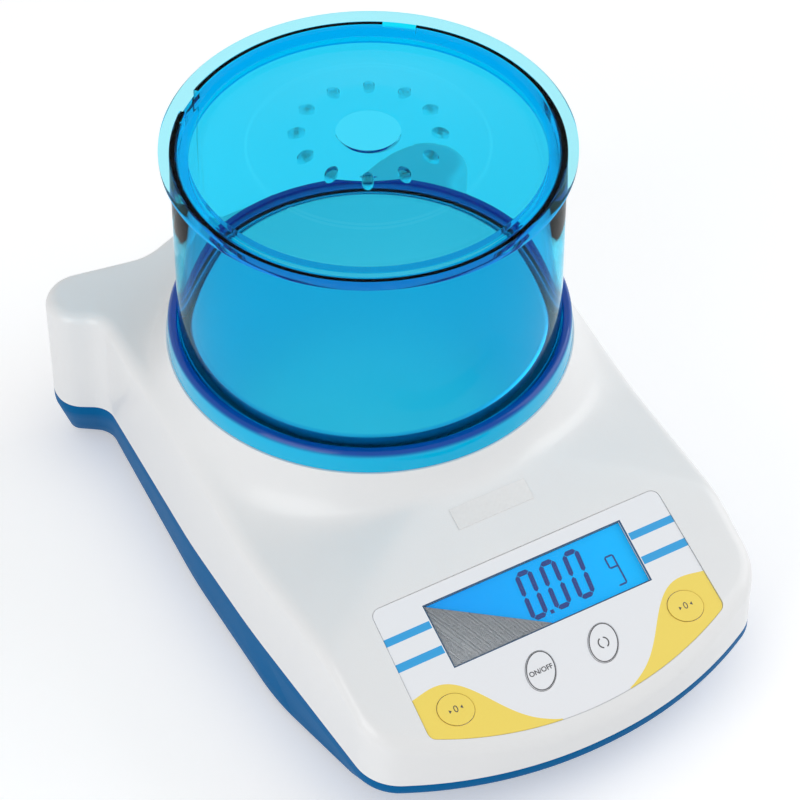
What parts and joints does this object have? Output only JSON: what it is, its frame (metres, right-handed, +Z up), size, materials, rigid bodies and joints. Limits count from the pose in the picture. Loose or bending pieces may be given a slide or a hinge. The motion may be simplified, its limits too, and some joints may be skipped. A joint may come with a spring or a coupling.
{
  "type": "precision balance",
  "caption": "Desktop precision balance with a low wedge body, sloping display and key panel, and a round pan inside a clear cylindrical draught shield with a vented lid.",
  "frame": {"origin": "middle of the footprint, in the plane the feet stand on", "axes": "+X to the user's right, +Y to the rear, +Z up"},
  "size_m": [0.17, 0.248, 0.173],
  "materials": {
    "blue_moulding": "gloss, moulded",
    "white_moulding": "satin, moulded",
    "dark_clear_blue": "polished clear plastic",
    "clear_blue": "polished clear plastic",
    "pan_steel": "brushed",
    "cast_metal": "as cast",
    "load_cell_metal": "milled",
    "plain_steel": "plain",
    "screw_steel": "zinc plated",
    "soft_rubber": "matte",
    "board": "lacquered",
    "black_plastic": "matte",
    "printed_label": "printed film",
    "display_window": "clear",
    "display_blue": "lit display",
    "light_guide": "polished",
    "key_cap": "soft matte",
    "battery_can": "sleeved",
    "contact_metal": "nickel plated",
    "vial": "clear",
    "brass": "turned",
    "wheel_plastic": "moulded"
  },
  "bodies": {
    "housing": {"lower_housing": "blue_moulding", "upper_housing": "white_moulding", "load_cell": "load_cell_metal", "cell_spacer": "plain_steel", "cell_screws": "screw_steel", "mounting_plate": "cast_metal", "overload_stops": "screw_steel", "plate_screws": "screw_steel", "main_board": "board", "board_parts": "black_plastic", "control_label": "printed_label", "display_window": "display_window", "display_glass": "display_blue", "display_light": "light_guide", "display_frame": "black_plastic", "display_board": "board", "key_switches": "black_plastic", "batteries": "battery_can", "battery_contacts": "contact_metal", "power_socket": "black_plastic", "level_vial": "vial", "foot_inserts": "brass", "case_screws": "screw_steel"},
    "platform": {"platform_bracket": "cast_metal", "platform_spacer": "plain_steel", "bracket_screws": "screw_steel", "pan_support": "cast_metal", "support_screw": "screw_steel", "pan_cushions": "soft_rubber"},
    "pan": {"weighing_pan": "pan_steel"},
    "ring": {"draught_ring": "dark_clear_blue"},
    "shield": {"draught_shield": "clear_blue"},
    "lid": {"shield_lid": "clear_blue"},
    "door": {"battery_door": "blue_moulding"},
    "on_off_button": {"key_on_off": "key_cap"},
    "unit_button": {"key_unit": "key_cap"},
    "tare_left_button": {"key_tare_left": "key_cap"},
    "tare_right_button": {"key_tare_right": "key_cap"},
    "pad_front_left": {"foot_pad_front_left": "soft_rubber"},
    "wheel_front_left": {"foot_wheel_front_left": "wheel_plastic"},
    "pad_front_right": {"foot_pad_front_right": "soft_rubber"},
    "wheel_front_right": {"foot_wheel_front_right": "wheel_plastic"},
    "pad_rear_left": {"foot_pad_rear_left": "soft_rubber"},
    "wheel_rear_left": {"foot_wheel_rear_left": "wheel_plastic"},
    "pad_rear_right": {"foot_pad_rear_right": "soft_rubber"},
    "wheel_rear_right": {"foot_wheel_rear_right": "wheel_plastic"}
  },
  "joints": [
    {"name": "weighing_travel", "type": "slide", "parent": "housing", "child": "platform", "axis": [0, 0, 1], "range_m": [-0.0003, 0], "stiffness_N_per_m": 10000, "springref_m": 0.0003, "deforming": ["load_cell"]},
    {"name": "pan_lift", "type": "slide", "parent": "platform", "child": "pan", "axis": [0, 0, 1], "range_m": [0, 0.03]},
    {"name": "ring_lift", "type": "slide", "parent": "housing", "child": "ring", "axis": [0, 0, 1], "range_m": [0, 0.03]},
    {"name": "shield_lift", "type": "slide", "parent": "ring", "child": "shield", "axis": [0, 0, 1], "range_m": [0, 0.09]},
    {"name": "lid_lift", "type": "slide", "parent": "shield", "child": "lid", "axis": [0, 0, 1], "range_m": [0, 0.05]},
    {"name": "battery_door_lift", "type": "slide", "parent": "housing", "child": "door", "axis": [0, 0, -1], "range_m": [0, 0.02]},
    {"name": "on_off_press", "type": "slide", "parent": "housing", "child": "on_off_button", "axis": [0, 0.4251, -0.9051], "range_m": [0, 0.0004], "stiffness_N_per_m": 600},
    {"name": "unit_press", "type": "slide", "parent": "housing", "child": "unit_button", "axis": [0, 0.4251, -0.9051], "range_m": [0, 0.0004], "stiffness_N_per_m": 600},
    {"name": "tare_left_press", "type": "slide", "parent": "housing", "child": "tare_left_button", "axis": [0, 0.4251, -0.9051], "range_m": [0, 0.0004], "stiffness_N_per_m": 600},
    {"name": "tare_right_press", "type": "slide", "parent": "housing", "child": "tare_right_button", "axis": [0, 0.4251, -0.9051], "range_m": [0, 0.0004], "stiffness_N_per_m": 600},
    {"name": "foot_travel_front_left", "type": "slide", "parent": "housing", "child": "pad_front_left", "axis": [0, 0, 1], "range_m": [-0.005, 0]},
    {"name": "foot_turn_front_left", "type": "hinge", "parent": "pad_front_left", "child": "wheel_front_left", "pos_m": [-0.052, -0.077, 0.006], "axis": [0, 0, 1], "range_deg": [-1800, 0]},
    {"name": "foot_travel_front_right", "type": "slide", "parent": "housing", "child": "pad_front_right", "axis": [0, 0, 1], "range_m": [-0.005, 0]},
    {"name": "foot_turn_front_right", "type": "hinge", "parent": "pad_front_right", "child": "wheel_front_right", "pos_m": [0.052, -0.077, 0.006], "axis": [0, 0, 1], "range_deg": [-1800, 0]},
    {"name": "foot_travel_rear_left", "type": "slide", "parent": "housing", "child": "pad_rear_left", "axis": [0, 0, 1], "range_m": [-0.005, 0]},
    {"name": "foot_turn_rear_left", "type": "hinge", "parent": "pad_rear_left", "child": "wheel_rear_left", "pos_m": [-0.054, 0.0985, 0.006], "axis": [0, 0, 1], "range_deg": [-1800, 0]},
    {"name": "foot_travel_rear_right", "type": "slide", "parent": "housing", "child": "pad_rear_right", "axis": [0, 0, 1], "range_m": [-0.005, 0]},
    {"name": "foot_turn_rear_right", "type": "hinge", "parent": "pad_rear_right", "child": "wheel_rear_right", "pos_m": [0.054, 0.0985, 0.006], "axis": [0, 0, 1], "range_deg": [-1800, 0]}
  ],
  "couplings": [
    {"joint": "foot_turn_front_left", "follows": "foot_travel_front_left", "rad_per_m": 6283.2},
    {"joint": "foot_turn_front_right", "follows": "foot_travel_front_right", "rad_per_m": 6283.2},
    {"joint": "foot_turn_rear_left", "follows": "foot_travel_rear_left", "rad_per_m": 6283.2},
    {"joint": "foot_turn_rear_right", "follows": "foot_travel_rear_right", "rad_per_m": 6283.2}
  ]
}
